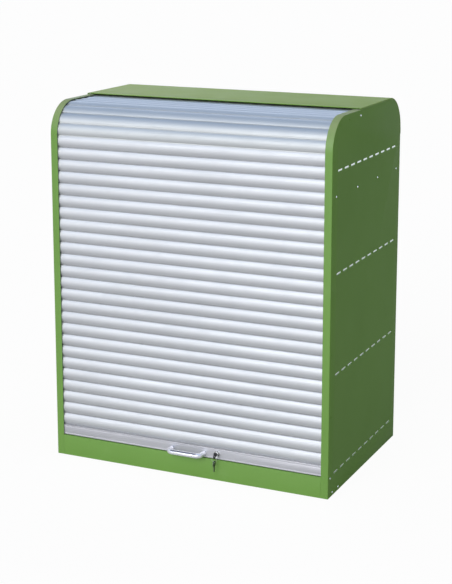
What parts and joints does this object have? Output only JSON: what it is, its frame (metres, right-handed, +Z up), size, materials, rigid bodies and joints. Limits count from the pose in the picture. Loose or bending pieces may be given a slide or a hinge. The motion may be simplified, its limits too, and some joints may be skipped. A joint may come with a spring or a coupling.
{
  "type": "hazardous materials cabinet",
  "caption": "Sheet-steel storage cabinet with a lockable aluminium roller shutter, spill trays and slotted sides.",
  "frame": {"origin": "on the floor, under the middle of the side panels", "axes": "+Z up, the shutter faces -Y, +X to the right when facing the shutter"},
  "size_m": [0.9224, 0.6372, 1.1295],
  "materials": {
    "side_paint": "powder coat",
    "front_paint": "powder coat",
    "sump_paint": "powder coat",
    "slat_aluminium": "satin anodised",
    "rail_aluminium": "brushed",
    "track_aluminium": "mill finish",
    "galvanised": "galvanised",
    "fastener": "zinc plated",
    "handle_chrome": "satin chrome",
    "lock_nickel": "nickel plated",
    "key_steel": "nickel plated",
    "key_black": "black oxide",
    "seal_rubber": "matt",
    "shoe_nylon": "matt"
  },
  "bodies": {
    "cabinet": {"left_side_panel": "side_paint", "right_side_panel": "side_paint", "left_edge_strip": "front_paint", "right_edge_strip": "front_paint", "left_track": "track_aluminium", "right_track": "track_aluminium", "top_cover": "front_paint", "back_panel": "side_paint", "back_screws": "fastener", "inner_back": "galvanised", "base_sump": "sump_paint", "plinth_front": "front_paint", "strike_plate": "galvanised", "left_tray_rails": "galvanised", "right_tray_rails": "galvanised", "side_stiffeners": "galvanised", "base_grid": "galvanised", "lower_tray": "galvanised", "upper_tray": "galvanised", "side_rivets": "fastener", "bend_slats": "slat_aluminium", "top_slats": "slat_aluminium"},
    "shutter_rail": {"bottom_rail": "rail_aluminium", "rail_seal": "seal_rubber", "rail_shoes": "shoe_nylon", "handle": "handle_chrome", "handle_screws": "fastener", "lock_housing": "lock_nickel", "lock_nut": "fastener"},
    "key": {"lock_plug": "lock_nickel", "lock_cam": "galvanised", "cam_screw": "fastener", "key": "key_black", "key_ring": "key_steel"},
    "spare_key": {"spare_key": "key_black"},
    "slat_01": {"slat_01": "slat_aluminium"},
    "slat_02": {"slat_02": "slat_aluminium"},
    "slat_03": {"slat_03": "slat_aluminium"},
    "slat_04": {"slat_04": "slat_aluminium"},
    "slat_05": {"slat_05": "slat_aluminium"},
    "slat_06": {"slat_06": "slat_aluminium"},
    "slat_07": {"slat_07": "slat_aluminium"},
    "slat_08": {"slat_08": "slat_aluminium"},
    "slat_09": {"slat_09": "slat_aluminium"},
    "slat_10": {"slat_10": "slat_aluminium"},
    "slat_11": {"slat_11": "slat_aluminium"},
    "slat_12": {"slat_12": "slat_aluminium"},
    "slat_13": {"slat_13": "slat_aluminium"},
    "slat_14": {"slat_14": "slat_aluminium"},
    "slat_15": {"slat_15": "slat_aluminium"},
    "slat_16": {"slat_16": "slat_aluminium"},
    "slat_17": {"slat_17": "slat_aluminium"},
    "slat_18": {"slat_18": "slat_aluminium"},
    "slat_19": {"slat_19": "slat_aluminium"},
    "slat_20": {"slat_20": "slat_aluminium"},
    "slat_21": {"slat_21": "slat_aluminium"},
    "slat_22": {"slat_22": "slat_aluminium"},
    "slat_23": {"slat_23": "slat_aluminium"},
    "slat_24": {"slat_24": "slat_aluminium"},
    "slat_25": {"slat_25": "slat_aluminium"}
  },
  "joints": [
    {"name": "shutter_slide", "type": "slide", "parent": "cabinet", "child": "shutter_rail", "axis": [0, 0, 1], "range_m": [0, 0.92]},
    {"name": "key_turn", "type": "hinge", "parent": "shutter_rail", "child": "key", "pos_m": [0.099, -0.2967, 0.08275], "axis": [0, 1, 0], "range_deg": [0, 90]},
    {"name": "spare_key_swing", "type": "hinge", "parent": "key", "child": "spare_key", "pos_m": [0.099, -0.31673, 0.07255], "axis": [0, 1, 0], "range_deg": [-97, 7]},
    {"name": "slat_01_slide", "type": "slide", "parent": "cabinet", "child": "slat_01", "axis": [0, 0.0341, 0.9994], "range_m": [0, 0.93805]},
    {"name": "slat_02_slide", "type": "slide", "parent": "cabinet", "child": "slat_02", "axis": [0, 0.0555, 0.9985], "range_m": [0, 0.90189]},
    {"name": "slat_03_slide", "type": "slide", "parent": "cabinet", "child": "slat_03", "axis": [0, 0.0786, 0.9969], "range_m": [0, 0.86618]},
    {"name": "slat_04_slide", "type": "slide", "parent": "cabinet", "child": "slat_04", "axis": [0, 0.1036, 0.9946], "range_m": [0, 0.83097]},
    {"name": "slat_05_slide", "type": "slide", "parent": "cabinet", "child": "slat_05", "axis": [0, 0.1308, 0.9914], "range_m": [0, 0.79633]},
    {"name": "slat_06_slide", "type": "slide", "parent": "cabinet", "child": "slat_06", "axis": [0, 0.1602, 0.9871], "range_m": [0, 0.76234]},
    {"name": "slat_07_slide", "type": "slide", "parent": "cabinet", "child": "slat_07", "axis": [0, 0.1923, 0.9813], "range_m": [0, 0.72909]},
    {"name": "slat_08_slide", "type": "slide", "parent": "cabinet", "child": "slat_08", "axis": [0, 0.2271, 0.9739], "range_m": [0, 0.69668]},
    {"name": "slat_09_slide", "type": "slide", "parent": "cabinet", "child": "slat_09", "axis": [0, 0.265, 0.9643], "range_m": [0, 0.66524]},
    {"name": "slat_10_slide", "type": "slide", "parent": "cabinet", "child": "slat_10", "axis": [0, 0.306, 0.952], "range_m": [0, 0.63492]},
    {"name": "slat_11_slide", "type": "slide", "parent": "cabinet", "child": "slat_11", "axis": [0, 0.3505, 0.9366], "range_m": [0, 0.60587]},
    {"name": "slat_12_slide", "type": "slide", "parent": "cabinet", "child": "slat_12", "axis": [0, 0.3984, 0.9172], "range_m": [0, 0.5783]},
    {"name": "slat_13_slide", "type": "slide", "parent": "cabinet", "child": "slat_13", "axis": [0, 0.4498, 0.8932], "range_m": [0, 0.55242]},
    {"name": "slat_14_slide", "type": "slide", "parent": "cabinet", "child": "slat_14", "axis": [0, 0.5043, 0.8635], "range_m": [0, 0.52848]},
    {"name": "slat_15_slide", "type": "slide", "parent": "cabinet", "child": "slat_15", "axis": [0, 0.5615, 0.8275], "range_m": [0, 0.50677]},
    {"name": "slat_16_slide", "type": "slide", "parent": "cabinet", "child": "slat_16", "axis": [0, 0.6207, 0.7841], "range_m": [0, 0.48757]},
    {"name": "slat_17_slide", "type": "slide", "parent": "cabinet", "child": "slat_17", "axis": [0, 0.6806, 0.7327], "range_m": [0, 0.47119]},
    {"name": "slat_18_slide", "type": "slide", "parent": "cabinet", "child": "slat_18", "axis": [0, 0.7397, 0.6729], "range_m": [0, 0.45795]},
    {"name": "slat_19_slide", "type": "slide", "parent": "cabinet", "child": "slat_19", "axis": [0, 0.7962, 0.605], "range_m": [0, 0.44811]},
    {"name": "slat_20_slide", "type": "slide", "parent": "cabinet", "child": "slat_20", "axis": [0, 0.8483, 0.5296], "range_m": [0, 0.44191]},
    {"name": "slat_21_slide", "type": "slide", "parent": "cabinet", "child": "slat_21", "axis": [0, 0.894, 0.4481], "range_m": [0, 0.43949]},
    {"name": "slat_22_slide", "type": "slide", "parent": "cabinet", "child": "slat_22", "axis": [0, 0.932, 0.3626], "range_m": [0, 0.44093]},
    {"name": "slat_23_slide", "type": "slide", "parent": "cabinet", "child": "slat_23", "axis": [0, 0.9614, 0.2752], "range_m": [0, 0.44619]},
    {"name": "slat_24_slide", "type": "slide", "parent": "cabinet", "child": "slat_24", "axis": [0, 0.9821, 0.1883], "range_m": [0, 0.45512]},
    {"name": "slat_25_slide", "type": "slide", "parent": "cabinet", "child": "slat_25", "axis": [0, 0.9946, 0.104], "range_m": [0, 0.46753]}
  ],
  "couplings": [
    {"joint": "spare_key_swing", "follows": "key_turn", "ratio": -1},
    {"joint": "slat_01_slide", "follows": "shutter_slide", "ratio": 1.0185},
    {"joint": "slat_02_slide", "follows": "shutter_slide", "ratio": 0.97923},
    {"joint": "slat_03_slide", "follows": "shutter_slide", "ratio": 0.94041},
    {"joint": "slat_04_slide", "follows": "shutter_slide", "ratio": 0.90214},
    {"joint": "slat_05_slide", "follows": "shutter_slide", "ratio": 0.86449},
    {"joint": "slat_06_slide", "follows": "shutter_slide", "ratio": 0.82754},
    {"joint": "slat_07_slide", "follows": "shutter_slide", "ratio": 0.7914},
    {"joint": "slat_08_slide", "follows": "shutter_slide", "ratio": 0.75617},
    {"joint": "slat_09_slide", "follows": "shutter_slide", "ratio": 0.722},
    {"joint": "slat_10_slide", "follows": "shutter_slide", "ratio": 0.68904},
    {"joint": "slat_11_slide", "follows": "shutter_slide", "ratio": 0.65747},
    {"joint": "slat_12_slide", "follows": "shutter_slide", "ratio": 0.6275},
    {"joint": "slat_13_slide", "follows": "shutter_slide", "ratio": 0.59937},
    {"joint": "slat_14_slide", "follows": "shutter_slide", "ratio": 0.57335},
    {"joint": "slat_15_slide", "follows": "shutter_slide", "ratio": 0.54974},
    {"joint": "slat_16_slide", "follows": "shutter_slide", "ratio": 0.52888},
    {"joint": "slat_17_slide", "follows": "shutter_slide", "ratio": 0.51108},
    {"joint": "slat_18_slide", "follows": "shutter_slide", "ratio": 0.49668},
    {"joint": "slat_19_slide", "follows": "shutter_slide", "ratio": 0.48599},
    {"joint": "slat_20_slide", "follows": "shutter_slide", "ratio": 0.47925},
    {"joint": "slat_21_slide", "follows": "shutter_slide", "ratio": 0.47662},
    {"joint": "slat_22_slide", "follows": "shutter_slide", "ratio": 0.47819},
    {"joint": "slat_23_slide", "follows": "shutter_slide", "ratio": 0.4839},
    {"joint": "slat_24_slide", "follows": "shutter_slide", "ratio": 0.49361},
    {"joint": "slat_25_slide", "follows": "shutter_slide", "ratio": 0.5071}
  ]
}
